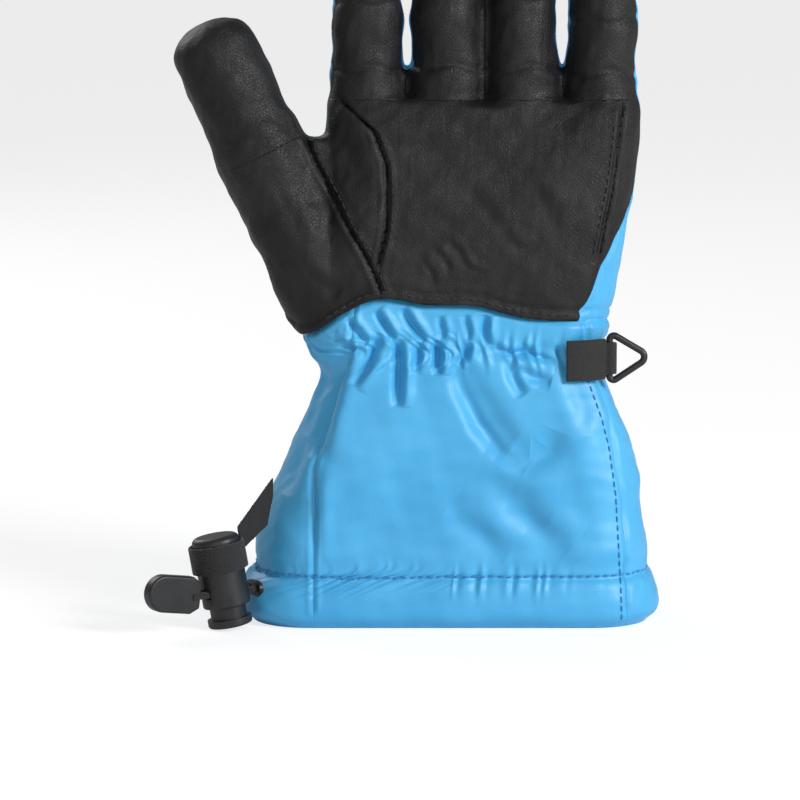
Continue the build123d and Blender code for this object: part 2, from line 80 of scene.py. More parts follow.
def smooth_track(heights, values):
    """Curve through values at heights, with slopes taken from their neighbours."""
    h, v = np.array(heights, float), np.array(values, float)
    slope = np.gradient(v, h)

    def at(z):
        z = np.clip(z, h[0], h[-1])
        i = np.clip(np.searchsorted(h, z) - 1, 0, len(h) - 2)
        span = h[i + 1] - h[i]
        t = (z - h[i]) / span
        return ((1 + 2 * t) * (1 - t) ** 2 * v[i] + t * (1 - t) ** 2 * span * slope[i]
                + t * t * (3 - 2 * t) * v[i + 1] + t * t * (t - 1) * span * slope[i + 1])
    return at


left_at, right_at = smooth_track(LEVELS, LEFT), smooth_track(LEVELS, RIGHT)
half_at, corner_at = smooth_track(LEVELS, HALF), smooth_track(LEVELS, CORNER)


def section(z, inset=0.0):
    """Rounded outline at one height, from the middle of the front face round by the right."""
    left, right = left_at(z) + inset, right_at(z) - inset
    half = half_at(z) - inset
    r = min(corner_at(z) - inset, half - 0.2)
    arc = np.linspace(0, np.pi / 2, 24)
    middle = (left + right) / 2
    parts = [np.stack([np.linspace(middle, right - r, 40), np.full(40, -half)], 1)]
    for cx, cy, start in ((right - r, r - half, -np.pi / 2), (right - r, half - r, 0),
                          (left + r, half - r, np.pi / 2), (left + r, r - half, np.pi)):
        parts.append(np.stack([cx + r * np.cos(start + arc), cy + r * np.sin(start + arc)], 1))
    parts.append(np.stack([np.linspace(left + r, middle, 40), np.full(40, -half)], 1))
    line = np.concatenate(parts)
    keep = np.concatenate([[True], np.linalg.norm(np.diff(line, axis=0), axis=1) > 1e-6])
    return line[keep]


def waves(points, length, seed, count=7):
    """Soft random undulation between about -1 and 1, the same on each run."""
    draw = np.random.default_rng(seed)
    total = np.zeros(len(points))
    for _ in range(count):
        direction = draw.normal(size=3)
        direction /= np.linalg.norm(direction)
        k = 2 * np.pi / (length * draw.uniform(0.7, 1.4))
        total += np.sin(points @ direction * k + draw.uniform(0, 2 * np.pi))
    return total / math.sqrt(count)


def step(x, low, high):
    """Smooth step from 0 at low to 1 at high."""
    t = np.clip((x - low) / (high - low), 0, 1)
    return t * t * (3 - 2 * t)


def crease(px, pz, route, depth, width, ridge=0.0, fade=0.5):
    """Fold pressed in along a route, with a soft swell on its left side, fading at both ends."""
    route = np.array(route, float)
    legs = np.diff(route, axis=0)
    lengths = np.linalg.norm(legs, axis=1)
    run = np.concatenate([[0], np.cumsum(lengths)])
    best = np.full(len(px), 1e9)
    signed = np.zeros(len(px))
    place = np.zeros(len(px))
    for k, (leg, length) in enumerate(zip(legs, lengths)):
        dx, dz = px - route[k][0], pz - route[k][1]
        t = np.clip((dx * leg[0] + dz * leg[1]) / length ** 2, 0, 1)
        ex, ez = dx - t * leg[0], dz - t * leg[1]
        d = np.hypot(ex, ez)
        side = np.sign(leg[0] * dz - leg[1] * dx)
        near = d < best
        best = np.where(near, d, best)
        signed = np.where(near, side * d, signed)
        place = np.where(near, (run[k] + t * length) / run[-1], place)
    ends = np.abs(np.sin(np.pi * place)) ** fade
    dip = -depth * np.exp(-(best / width) ** 2)
    swell = ridge * np.exp(-((signed - 1.7 * width) / (1.3 * width)) ** 2)
    return (dip + swell) * ends


# ---- gauntlet surface ------------------------------------------------------------------
SEAM_ARCH = ([-75, -59, -53, -45, -36, -31, -25, -19.6, -10.8, 6, 12, 19, 29, 39, 51, 62, 80],
             [116, 115, 117.5, 123.3, 128.3, 130.3, 130.8, 130, 128.2, 128, 127.4, 125.2, 122.8,
              121.8, 121.2, 121, 121])
BACK_SEAM = 120.0
HEM_STITCH = 20.0
ELASTIC = 109.5
TUCK = 4.0
CUFF_PLY = 1.2

FRONT_FOLDS = [
    # route across the front, depth, width, swell beside it
    ([(-41.5, 118.5), (-37.5, 113.5), (-33, 108)], 1.9, 1.5, 0.9),
    ([(-30, 121), (-26, 115), (-22.5, 109.5)], 2.3, 1.5, 1.1),
    ([(-19.5, 122), (-16, 116), (-10.5, 109)], 2.3, 1.6, 1.1),
    ([(-47, 111), (-42.5, 108), (-38, 106)], 1.6, 1.4, 0.7),
    ([(-5, 119), (-3.6, 113), (-4, 109.5)], 1.3, 1.4, 0.6),
    ([(5, 119.5), (6.6, 113), (6.4, 109)], 1.3, 1.4, 0.6),
    ([(13.4, 119.5), (13, 113), (14.2, 107.5)], 2, 1.5, 1),
    ([(-28.2, 112), (-31.5, 103), (-39, 91.5)], 2.7, 1.9, 1.4),
    ([(-21, 110), (-20.8, 98), (-21.4, 83)], 3, 2, 1.5),
    ([(-5.4, 109.5), (-5.8, 103), (-5.2, 95.5)], 2.6, 1.8, 1.2),
    ([(7.6, 108.5), (5.4, 104), (2.6, 100)], 1.8, 1.5, 0.8),
    ([(-12.5, 109), (-13, 103), (-15, 97)], 1.4, 1.6, 0.8),
    ([(22, 102), (24, 95), (28, 87.5)], 2, 2.4, 0.9),
    ([(25.5, 99), (31, 95), (39, 93)], 1.8, 2.4, 0.6),
    ([(17, 107), (23, 104), (31, 105)], 1.2, 1.3, 0.6),
    ([(27, 108), (33, 103), (41, 101)], 1.2, 1.4, 0.6),
]
LONG_FOLDS = [
    ([(0.5, 103), (3.5, 90), (10.5, 76), (19, 65), (29, 58)], 2.4, 3.4, -1.2),
    ([(24, 67), (31, 61.5), (38, 66), (41, 74)], 1.7, 5, 0),
    ([(-2, 42), (10, 33), (22, 24)], 1, 5, 0.8),
    ([(20, 44), (34, 35), (46, 26)], 1.2, 5, 0.9),
    ([(8, 56), (24, 47), (40, 42)], 0.8, 6, 0.8),
    ([(46, 96), (51, 86), (53, 72)], 0.9, 4, 0.7),
    ([(-40.6, 108), (-45.5, 94), (-50, 79), (-54, 63)], 2.6, 3.2, 1.4),
    ([(-54, 64), (-54.6, 42), (-54.6, 22)], 0.8, 2.6, 0.9),
    ([(-48, 100), (-56, 86), (-59, 72)], 1.6, 3, 1),
    ([(-58, 70), (-63, 58), (-66, 48)], 1.2, 3.2, 0.8),
]
RIGHT_SEAM = ([0, 8, 18, 53, 64, 72, 83, 100, 130], [69.4, 69.2, 68.9, 66.8, 65.2, 64, 61.2, 55, 53])
LEFT_SEAM = ([0, 22, 63, 80, 94, 108, 130], [-54.6, -54.6, -54.2, -50, -46, -40.6, -38])


def cuff_push(points, normals, around, perimeter):
    """How far each point of the gauntlet stands in or out of its smooth form."""
    x, y, z = points.T
    px, pz = x, z * math.cos(EYE_TILT) + y * math.sin(EYE_TILT)
    front = step(-normals[:, 1], 0.05, 0.45)
    push = np.zeros(len(x))
    for route, depth, width, ridge in FRONT_FOLDS:
        push += 1.35 * front * crease(px, pz, route, depth, width, ridge)
    for route, depth, width, ridge in LONG_FOLDS:
        push += 1.6 * front * crease(px, pz, route, depth, width, ridge, 0.8)
    # gathers on the sides and the back, short above the elastic and long below it
    draw = np.random.default_rng(5)
    where = 0.0
    while where < 1.0:
        lean = draw.uniform(-5, 5)
        high, low = draw.uniform(6, 10), draw.uniform(11, 30)
        depth = draw.uniform(1.4, 2.6)
        for wrap in (-1.0, 0.0, 1.0):
            start = (where + wrap) * 330
            route = [(start - lean * 0.4, ELASTIC + high), (start, ELASTIC), (start + lean, ELASTIC - low)]
            push += (1 - front) * crease(around * 330, z, route, depth, draw.uniform(1.6, 2.4), depth * 0.45)
        where += draw.uniform(0.026, 0.046)
    # the elastic draws the cloth in, with small puckers along it
    near = np.exp(-((z - ELASTIC) / 2.6) ** 2)
    tight = np.exp(-((z - ELASTIC) / 6.0) ** 2)
    beat = around * perimeter
    puckers = np.sin(beat * 2 * np.pi / 5.3 + 1.6 * np.sin(beat * 0.23) + 0.9 * np.sin(beat * 0.61))
    push += -0.9 * near + 0.55 * tight * puckers
    # hem: tunnel swelling over the drawcord, stitched line above it and its puckers
    tunnel = step(z, 1.0, 6.0) * (1 - step(z, HEM_STITCH - 5, HEM_STITCH - 1))
    push += 0.5 * tunnel - 1.1 * np.exp(-((z - HEM_STITCH) / 1.3) ** 2)
    drawn = 1 - step(x, 40, 62)
    ruffle = np.sin(beat * 2 * np.pi / 6.1 + 2.2 * np.sin(beat * 0.17) + 1.2 * np.sin(beat * 0.53))
    fading = np.exp(-((z - HEM_STITCH + 1.0) / 5.0) ** 2) * (0.6 + 0.4 * np.sin(beat * 0.09))
    push += (0.25 + 0.45 * drawn) * ruffle * fading
    # slack cloth
    slack = step(z, 22, 34) * (1 - step(z, 92, 104))
    push += slack * (0.9 * waves(points, 55, 3) + 0.35 * waves(points, 21, 4))
    push += 0.12 * waves(points, 7, 6)
    # seams
    for seam in (RIGHT_SEAM, LEFT_SEAM):
        line = np.interp(z, *seam)
        beside = np.abs(x - line)
        on = front * step(z, 4, 10)
        push += on * (-0.55 * np.exp(-(beside / 0.8) ** 2) + 0.3 * np.exp(-((beside - 2.0) / 1.0) ** 2))
    return push


def mesh_object(name, points, faces, smooth=True):
    """Mesh from millimetre points."""
    mesh = bpy.data.meshes.new(name)
    mesh.from_pydata([tuple(p) for p in np.asarray(points) * MM], [], [tuple(int(i) for i in f) for f in faces])
    mesh.validate()
    mesh.polygons.foreach_set("use_smooth", [smooth] * len(mesh.polygons))
    thing = bpy.data.objects.new(name, mesh)
    bpy.context.collection.objects.link(thing)
    return thing


def grid_faces(rows, columns, closed=False):
    """Quads of a grid of points, row after row."""
    wide = columns if closed else columns - 1
    r, c = np.meshgrid(np.arange(rows - 1), np.arange(wide), indexing="ij")
    r, c = r.ravel(), c.ravel()
    d = (c + 1) % columns
    return np.stack([r * columns + c, r * columns + d, (r + 1) * columns + d, (r + 1) * columns + c], 1)


def upper_edge(x, y):
    """Height at which the gauntlet's cloth is sewn to the hand."""
    arch = np.interp(x, *SEAM_ARCH)
    return np.where(y < 0, arch + (BACK_SEAM - arch) * step(y, -12, 0), BACK_SEAM)


def cuff_rows(start_of, end_of, columns, rows):
    """Grid of one gauntlet panel between two places round the outline, given for each height."""
    grid, normals, around, perimeters = [], [], [], []
    for level in np.linspace(0, 1, rows):
        base = section(level * 132.0)
        size = np.linalg.norm(np.diff(base, axis=0, append=base[:1]), axis=1)
        run = np.concatenate([[0], np.cumsum(size)])
        total = run[-1]
        closed = np.vstack([base, base[:1]])
        z_here = level * 132.0
        places = np.linspace(start_of(z_here, closed, run), end_of(z_here, closed, run), columns) % total
        x, y = np.interp(places, run, closed[:, 0]), np.interp(places, run, closed[:, 1])
        ahead, behind = (places + 0.8) % total, (places - 0.8) % total
        tx = np.interp(ahead, run, closed[:, 0]) - np.interp(behind, run, closed[:, 0])
        ty = np.interp(ahead, run, closed[:, 1]) - np.interp(behind, run, closed[:, 1])
        long = np.hypot(tx, ty)
        edge = upper_edge(x, y) + TUCK
        grid.append(np.stack([x, y, 0.3 + level * (edge - 0.3)], 1))
        normals.append(np.stack([ty / long, -tx / long, np.zeros(columns)], 1))
        around.append(places / total)
        perimeters.append(np.full(columns, total))
    return np.array(grid), np.array(normals), np.array(around), np.array(perimeters)


def place_at_x(seam):
    """Where a seam's x lies on the front half of an outline, as a run from its start."""
    def place(z, closed, run):
        x = np.interp(z, *seam)
        front = closed[:, 1] < 0
        if x > 0:
            pick = front & (np.arange(len(closed)) < len(closed) // 2)
            return np.interp(x, closed[pick, 0], run[pick])
        pick = front & (np.arange(len(closed)) > len(closed) // 2)
        return np.interp(x, closed[pick, 0], run[pick]) - run[-1]
    return place


def cuff_panel(name, start_of, end_of, columns, rows, inset, ply, follow=1.0):
    """Gauntlet panel with its folds, as a closed sheet of one ply."""
    grid, normals, around, perimeters = cuff_rows(start_of, end_of, columns, rows)
    flat, out = grid.reshape(-1, 3), normals.reshape(-1, 3)
    push = cuff_push(flat, out, around.ravel(), perimeters.ravel()) * follow
    edge = upper_edge(flat[:, 0], flat[:, 1])
    near_top = step(flat[:, 2], edge - 3, edge + 1)
    low_edge = np.exp(-(flat[:, 2] / 2.0) ** 2)
    push = push * (1 - 0.6 * near_top) - 2.2 * near_top - inset - 1.0 * low_edge
    points = flat + out * push[:, None]
    inner = flat + out * (push - ply)[:, None]
    return sheet_between(name, points, inner, rows, columns)


def sheet_between(name, outer, inner, rows, columns):
    """Closed mesh of two matching grids joined round their edge."""
    count = rows * columns
    faces = grid_faces(rows, columns)
    back = grid_faces(rows, columns)[:, ::-1] + count
    rim = np.concatenate([np.arange(columns), np.arange(1, rows) * columns + columns - 1,
                          (rows - 1) * columns + np.arange(columns - 2, -1, -1),
                          np.arange(rows - 2, 0, -1) * columns])
    following = np.roll(rim, -1)
    edge = np.stack([following, rim, rim + count, following + count], 1)
    return mesh_object(name, np.vstack([outer, inner]), np.vstack([faces, back, edge]))


# ---- gauntlet pieces -------------------------------------------------------------------
right_place, left_place = place_at_x(RIGHT_SEAM), place_at_x(LEFT_SEAM)


def back_end(z, closed, run):
    """The back panel runs on round the glove until the left seam."""
    return left_place(z, closed, run) + run[-1]


cuff_front = cuff_panel("gauntlet_front_cloth", left_place, right_place, 380, 300, 0.0, CUFF_PLY)
cuff_back = cuff_panel("gauntlet_back_cloth", right_place, back_end, 620, 240, 0.0, CUFF_PLY)
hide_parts("gauntlet_front_panel")
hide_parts("gauntlet_back_panel")
batt_front = cuff_panel("gauntlet_front_wadding", left_place, right_place, 90, 60, 4.2, 2.0, 0.5)
batt_back = cuff_panel("gauntlet_back_wadding", right_place, back_end, 150, 60, 4.2, 2.0, 0.5)
lining = cuff_panel("gauntlet_fleece", lambda z, c, r: 0.0, lambda z, c, r: r[-1] * 0.9999, 200, 60, 6.6, 0.8, 0.5)
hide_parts("gauntlet_front_insulation")
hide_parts("gauntlet_back_insulation", "wrist_elastic")
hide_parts("gauntlet_lining")


# ---- hand: one skin grown over palm, thumb and fingers, then cut into its panels --------
KNUCKLE_Z = 212.0
CROTCH_Z = 208.0
FINGERS = ("index", "middle", "ring", "little")
knuckles = {}
for finger in FINGERS:
    low, high = node_box(f"{finger}_finger_insulation")
    knuckles[finger] = ((low[0] + high[0]) / 2, high[2] + 1.9)
joint_of = {j["child"]: j for j in frame["joints"]}
thumb_joint = joint_of["thumb"]
THUMB_KNUCKLE = np.array(thumb_joint["pos_m"]) / MM
THUMB_LEAN = math.radians(24.6)
THUMB_AXIS = np.array([-math.sin(THUMB_LEAN), 0, math.cos(THUMB_LEAN)])
THUMB_SIDE = np.array([math.cos(THUMB_LEAN), 0, math.sin(THUMB_LEAN)])
FINGER_R = 14.2
THUMB_R = 16.6


def tube(rings):
    """Closed tube through rings of points, capped at both ends."""
    rows, columns = len(rings), len(rings[0])
    points = np.vstack([np.vstack(rings), [np.mean(rings[0], axis=0)], [np.mean(rings[-1], axis=0)]])
    faces = [tuple(f) for f in grid_faces(rows, columns, closed=True)]
    first, last = rows * columns, rows * columns + 1
    faces += [(first, (c + 1) % columns, c) for c in range(columns)]
    top = (rows - 1) * columns
    faces += [(last, top + c, top + (c + 1) % columns) for c in range(columns)]
    return points, faces


def ring_points(centre, side, depth, wide, deep, columns=40):
    """Ring of points about a centre, wide along one direction and deep along the other."""
    turn = np.linspace(0, 2 * np.pi, columns, endpoint=False)
    return centre + np.outer(np.cos(turn) * wide, side) + np.outer(np.sin(turn) * deep, depth)


def stall_rings(root, along, side, below, length, wide, deep, inset, belly=0.0):
    """Rings of one finger, from below its knuckle to its rounded tip."""
    depth = np.cross(along, side)
    tip = 13.0
    rings = []
    for s in np.linspace(-below, length - tip, 22):
        t = (s + below) / (length + below)
        swell = 1.0 + 0.05 * math.exp(-((s + 2) / 9.0) ** 2) - 0.09 * t
        swell += 0.018 * math.sin(s * 0.31) * belly
        rings.append(ring_points(root + along * s, side, depth, wide * swell - inset, deep * swell - inset))
    for turn in np.linspace(0.12, 1.0, 9) * np.pi / 2:
        s = length - tip + (tip - inset) * math.sin(turn)
        close = max(math.cos(turn), 0.03) ** 0.8
        last = 0.92
        rings.append(ring_points(root + along * s, side, depth, (wide * last - inset) * close,
                                 (deep * last - inset) * close))
    return rings


def hand_form(name, inset, voxel, smooth_rounds):
    """Palm, thumb and fingers grown into one closed skin."""
    parts = []
    slab = []
    for z in np.concatenate([np.linspace(100, 200, 26), [204, 207]]):
        line = section(z, inset)
        run = np.concatenate([[0], np.cumsum(np.linalg.norm(np.diff(line, axis=0), axis=1))])
        even = np.linspace(0, run[-1], 120, endpoint=False)
        x, y = np.interp(even, run, line[:, 0]), np.interp(even, run, line[:, 1])
        round_off = 1 - 0.12 * step(z, 203, 208)
        slab.append(np.stack([x, y * round_off, np.full(120, z)], 1))
    parts.append(tube(slab))
    for finger in FINGERS:
        x, top = knuckles[finger]
        root = np.array([x, 0.0, KNUCKLE_Z])
        parts.append(tube(stall_rings(root, np.array([0, 0, 1.0]), np.array([1.0, 0, 0]), 22,
                                      top - KNUCKLE_Z, FINGER_R, FINGER_R - 0.4, inset, 1.0)))
    parts.append(tube(stall_rings(THUMB_KNUCKLE, THUMB_AXIS, THUMB_SIDE, 86, 52.0,
                                  THUMB_R + 2.2, THUMB_R + 1.0, inset, 0.6)))
    web = []
    for s in np.linspace(0, 1, 12):
        centre = np.array([-50.0 - 4 * s, -2.0, 130 + 62 * s])
        web.append(ring_points(centre, np.array([1.0, 0, 0]), np.array([0, 1.0, 0]),
                               15 - 1.5 * s - inset, 17 - 7 * s - inset, 32))
    parts.append(tube(web))
    points, faces, base = [], [], 0
    for p, f in parts:
        points.append(p)
        faces += [tuple(i + base for i in q) for q in f]
        base += len(p)
    form = mesh_object(name, np.vstack(points), faces)
    remesh = form.modifiers.new("grow", "REMESH")
    remesh.mode, remesh.voxel_size = "VOXEL", voxel * MM
    relax = form.modifiers.new("relax", "SMOOTH")
    relax.factor, relax.iterations = 0.5, smooth_rounds
    apply_modifiers(form)
    return form


def apply_modifiers(thing):
    """Leave the evaluated mesh on the object, with no modifiers."""
    graph = bpy.context.evaluated_depsgraph_get()
    final = bpy.data.meshes.new_from_object(thing.evaluated_get(graph), depsgraph=graph)
    thing.modifiers.clear()
    thing.data = final
    final.polygons.foreach_set("use_smooth", [True] * len(final.polygons))


def points_of(thing):
    """Vertices of a mesh in millimetres, with their normals."""
    mesh = thing.data
    co = np.empty(len(mesh.vertices) * 3)
    mesh.vertices.foreach_get("co", co)
    no = np.empty(len(mesh.vertices) * 3)
    mesh.vertex_normals.foreach_get("vector", no)
    return co.reshape(-1, 3) / MM, no.reshape(-1, 3)


def set_points(thing, points):
    """Put millimetre points back on a mesh."""
    thing.data.vertices.foreach_set("co", (points * MM).ravel())
    thing.data.update()


def inflate(thing, cap, frames=14, pressure=3.0):
    """Let the skin fill out like a stuffed cloth, moving no point further than a cap."""
    before, _ = points_of(thing)
    cloth = thing.modifiers.new("fill", "CLOTH")
    cloth.settings.use_pressure = True
    cloth.settings.uniform_pressure_force = pressure
    cloth.settings.effector_weights.gravity = 0
    cloth.settings.quality = 4
    cloth.settings.tension_stiffness = 12
    cloth.settings.compression_stiffness = 12
    cloth.settings.bending_stiffness = 0.6
    scene = bpy.context.scene
    for number in range(1, frames + 1):
        scene.frame_set(number)
    apply_modifiers(thing)
    scene.frame_set(1)
    after, _ = points_of(thing)
    move = after - before
    size = np.linalg.norm(move, axis=1, keepdims=True)
    set_points(thing, before + move * np.minimum(1, cap / np.maximum(size, 1e-9)))


SIDE_SEAM = ([100, 115, 121, 143, 153, 168, 180, 215, 320],
             [-21.8, -21.6, -20.8, -18.1, -14.6, -5.2, -1.5, -1.0, -1.0])
THUMB_SEAM = ([110, 132, 138, 147, 158.5, 172.6, 183.5, 196, 215],
              [-27.0, -27.2, -29.6, -33.6, -40.4, -47.6, -53.6, -59.0, -66.0])
FOLD_SEAM = ([110, 139, 143.6, 148.5, 157, 170, 183.5, 196, 206, 215],
             [-27, -28.6, -29.2, -28.0, -26.0, -25.2, -26.0, -30.5, -42.0, -50.0])
STRIP_SEAM = ([110, 143, 147.5, 159, 172, 180, 215, 320], [56.5, 57.2, 58.0, 60.0, 62.8, 64.0, 68.0, 68.0])
BACK_THUMB_SEAM = ([100, 120, 150, 180, 196, 215], [-47, -47, -46, -50, -56, -62])
FINGER_SEAM_Y = -1.0


def side_seam_y(points):
    """Depth of the seam between leather and woven back, all round the hand."""
    x, z = points[:, 0], points[:, 2]
    right = np.interp(z, *SIDE_SEAM)
    return np.where(x > 20, right, FINGER_SEAM_Y + (right - FINGER_SEAM_Y) * step(x, 0, 20))


def seam_groove(distance, depth=0.9, swell=0.35):
    """Section of a sewn seam: a groove with a low swell on each side."""
    away = np.abs(distance)
    return -depth * np.exp(-(away / 0.8) ** 2) + swell * np.exp(-((away - 2.1) / 1.1) ** 2)


skin = hand_form("hand_skin", 0.0, 2.0, 6)
inflate(skin, 1.2)
refine = skin.modifiers.new("refine", "SUBSURF")
refine.levels = refine.render_levels = 1
apply_modifiers(skin)

points, normals = points_of(skin)
x, y, z = points.T
palm_face = step(-normals[:, 1], 0.1, 0.5)
px, pz = x, z * math.cos(EYE_TILT) + y * math.sin(EYE_TILT)
push = 0.45 * waves(points, 34, 21) + 0.22 * waves(points, 12, 22) + 0.07 * waves(points, 4.5, 23)
on_palm = palm_face * (1 - step(z, 204, 210))
fade_thumb = step(z, 131, 136)
push += on_palm * fade_thumb * seam_groove((x - np.interp(z, *THUMB_SEAM)) * 0.86, 1.5, 0.7)
push += on_palm * step(z, 138, 146) * seam_groove((x - np.interp(z, *FOLD_SEAM)) * 0.98, 1.6, 0.6)
push += on_palm * step(z, 142, 152) * seam_groove(x - np.interp(z, *STRIP_SEAM), 1.1, 0.35)
inside_leaf = step(x - np.interp(z, *THUMB_SEAM), 0.5, 6) * (1 - step(x - np.interp(z, *FOLD_SEAM), -6, -0.5))
push += on_palm * inside_leaf * step(z, 145, 165) * 0.8
for route, depth, width, ridge in (
    ([(-8, 146), (-3, 141), (0, 136)], 0.8, 1.2, 0.5),
    ([(-2, 149), (3, 144), (6, 139)], 0.7, 1.2, 0.5),
    ([(2, 141), (8, 137), (14, 136)], 0.5, 1.1, 0.4),
    ([(-12, 141), (-8, 136), (-7, 131)], 0.6, 1.2, 0.4),
    ([(20, 150), (27, 145), (34, 146)], 0.7, 2.2, 0.7),
    ([(6, 168), (14, 160), (20, 152)], 0.5, 3.0, 0.5),
    ([(30, 172), (38, 160), (42, 148)], 0.5, 3.2, 0.6),
    ([(-70, 172), (-63, 158), (-58, 146)], 0.8, 3.0, 0.6),
    ([(-60, 140), (-52, 132), (-44, 128)], 0.8, 2.6, 0.6),
):
    push += on_palm * crease(px, pz, route, depth, width, ridge)
# knuckle creases on the palm side and soft rolls on the woven back
for finger in FINGERS:
    fx, tip = knuckles[finger]
    mine = step(z, 206, 210) * (1 - step(np.abs(x - fx), 13.5, 16.5))
    for share, depth in ((0.10, 0.9), (0.42, 0.8), (0.68, 0.6)):
        level = KNUCKLE_Z + share * (tip - KNUCKLE_Z) + 1.2 * np.sin((x - fx) * 0.3 + share * 9)
        push += mine * step(-normals[:, 1], -0.5, 0.5) * (-depth) * np.exp(-((z - level) / 1.5) ** 2)
side = np.abs(y - side_seam_y(points))
push += 0.9 * seam_groove(side, 0.8, 0.3) * step(z, 121, 126)
back_line = np.abs(x - np.interp(z, *BACK_THUMB_SEAM))
push += step(normals[:, 1], 0.1, 0.5) * seam_groove(back_line, 0.8, 0.3) * (1 - step(z, 196, 204))
hem_edge = z - upper_edge(x, y)
push += 0.35 * np.exp(-((hem_edge - 1.5) / 1.6) ** 2) - 0.5 * np.exp(-((hem_edge - 4.2) / 1.0) ** 2)
back_face = step(normals[:, 1], 0.0, 0.5)
draw = np.random.default_rng(9)
for number in range(12):
    start = -46 + number * 9.6 + draw.uniform(-2, 2)
    lean = draw.uniform(-5, 5)
    route = [(start, 118), (start + lean, 118 + draw.uniform(14, 34))]
    push += back_face * crease(x, z, route, draw.uniform(0.9, 1.8), 2.2, 0.7)
set_points(skin, points + normals * push[:, None])


def cut(thing, surface, where=None):
    """Cut a mesh along a curved surface, given as a function that is zero on it."""
    mesh = bmesh.new()
    mesh.from_mesh(thing.data)
    mesh.verts.ensure_lookup_table()
    co = np.array([v.co for v in mesh.verts]) / MM
    value = surface(co)
    old_count = len(mesh.verts)
    # an edge whose ends lie on either side is split where the value crosses zero
    splits = []
    for edge in mesh.edges:
        a, b = edge.verts
        va, vb = value[a.index], value[b.index]
        if va * vb < 0 and (where is None or where(a.co / MM, b.co / MM)):
            splits.append((edge, a, va / (va - vb)))
    for edge, a, share in splits:
        share = min(max(share, 0.02), 0.98)
        bmesh.utils.edge_split(edge, a, share)
    mesh.verts.ensure_lookup_table()
    fresh = set(mesh.verts[old_count:])
    for face in list(mesh.faces):
        on = [v for v in face.verts if v in fresh]
        if len(on) == 2 and len(face.verts) > 3:
            try:
                bmesh.utils.face_split(face, on[0], on[1])
            except ValueError:
                pass
    mesh.to_mesh(thing.data)
    mesh.free()


def part_of(thing, name, keep):
    """Copy of the faces whose middle passes a test, as a new object."""
    mesh = bmesh.new()
    mesh.from_mesh(thing.data)
    centres = np.array([f.calc_center_median() for f in mesh.faces]) / MM
    wanted = keep(centres)
    bmesh.ops.delete(mesh, geom=[f for f, w in zip(mesh.faces, wanted) if not w], context="FACES")
    data = bpy.data.meshes.new(name)
    mesh.to_mesh(data)
    mesh.free()
    data.polygons.foreach_set("use_smooth", [True] * len(data.polygons))
    piece = bpy.data.objects.new(name, data)
    bpy.context.collection.objects.link(piece)
    return piece


def thicken(thing, ply):
    """Give a cut panel its thickness, inwards."""
    solid = thing.modifiers.new("ply", "SOLIDIFY")
    solid.thickness, solid.offset = ply * MM, -1
    solid.use_rim = True
    apply_modifiers(thing)


def thumb_run(points):
    """Distance past the thumb's knuckle along the thumb."""
    return (points - THUMB_KNUCKLE) @ THUMB_AXIS


THUMB_CUT = -4.0


def is_thumb(points):
    """Points of the thumb beyond its cut."""
    return (thumb_run(points) > THUMB_CUT) & (points[:, 0] < -56) & (points[:, 2] > 170)


def is_finger(points):
    """Points of the four fingers above the crotches."""
    return (points[:, 2] > CROTCH_Z) & (points[:, 0] > -56)


def tip_wrap(points):
    """Leather wraps over each fingertip: how far its edge moves to the back there."""
    x, z = points[:, 0], points[:, 2]
    rise = np.zeros(len(points))
    for finger in FINGERS:
        fx, tip = knuckles[finger]
        near = np.abs(x - fx) < 15.5
        rise = np.where(near, 22 * step(z, tip - 16, tip - 6), rise)
    return rise * step(z, 215, 225)


def leather_side(points):
    """Below zero on the leather side of the hand and fingers."""
    return points[:, 1] - side_seam_y(points) - tip_wrap(points)


def back_thumb_side(points):
    """Below zero on the thumb side of the back seam."""
    return points[:, 0] - np.interp(points[:, 2], *BACK_THUMB_SEAM)


cut(skin, lambda p: p[:, 2] - upper_edge(p[:, 0], p[:, 1]))
cut(skin, lambda p: p[:, 2] - CROTCH_Z)
cut(skin, lambda p: thumb_run(p) - THUMB_CUT)
cut(skin, leather_side)
cut(skin, lambda p: p[:, 0] - np.interp(p[:, 2], *THUMB_SEAM))
cut(skin, lambda p: p[:, 0] - np.interp(p[:, 2], *FOLD_SEAM))
cut(skin, lambda p: p[:, 0] - np.interp(p[:, 2], *STRIP_SEAM))
cut(skin, back_thumb_side)


def in_hand(points):
    """Points of the hand between the gauntlet and the fingers."""
    above = points[:, 2] > upper_edge(points[:, 0], points[:, 1])
    return above & ~is_finger(points) & ~is_thumb(points)


def in_leather(points):
    """Leather side of the hand and fingers."""
    return leather_side(points) < 0


def left_of(points, seam):
    return points[:, 0] < np.interp(points[:, 2], *seam)


hand_pieces = {
    "palm_leather_panel": (lambda p: in_hand(p) & in_leather(p) & ~left_of(p, FOLD_SEAM) & left_of(p, STRIP_SEAM)
                           & (~left_of(p, THUMB_SEAM) | (p[:, 2] < 139)), 1.4, ["palm_leather"]),
    "thumb_gusset_leather": (lambda p: in_hand(p) & in_leather(p) & left_of(p, FOLD_SEAM)
                             & ~left_of(p, THUMB_SEAM), 1.3, ["thumb_gusset"]),
    "little_side_strip": (lambda p: in_hand(p) & in_leather(p) & ~left_of(p, STRIP_SEAM),
                          1.3, ["little_side_leather"]),
    "thumb_root_front": (lambda p: in_hand(p) & in_leather(p) & left_of(p, THUMB_SEAM)
                         & (left_of(p, FOLD_SEAM) | (p[:, 2] < 139)), 1.4, ["thumb_root_leather"]),
    "thumb_root_rear": (lambda p: in_hand(p) & ~in_leather(p) & (back_thumb_side(p) < 0), 1.4,
                        ["thumb_root_back_leather"]),
    "hand_back_cloth": (lambda p: in_hand(p) & ~in_leather(p) & (back_thumb_side(p) >= 0),
                        1.1, ["hand_back_shell"]),
}
leather_parts, cloth_parts = [], [cuff_front, cuff_back]
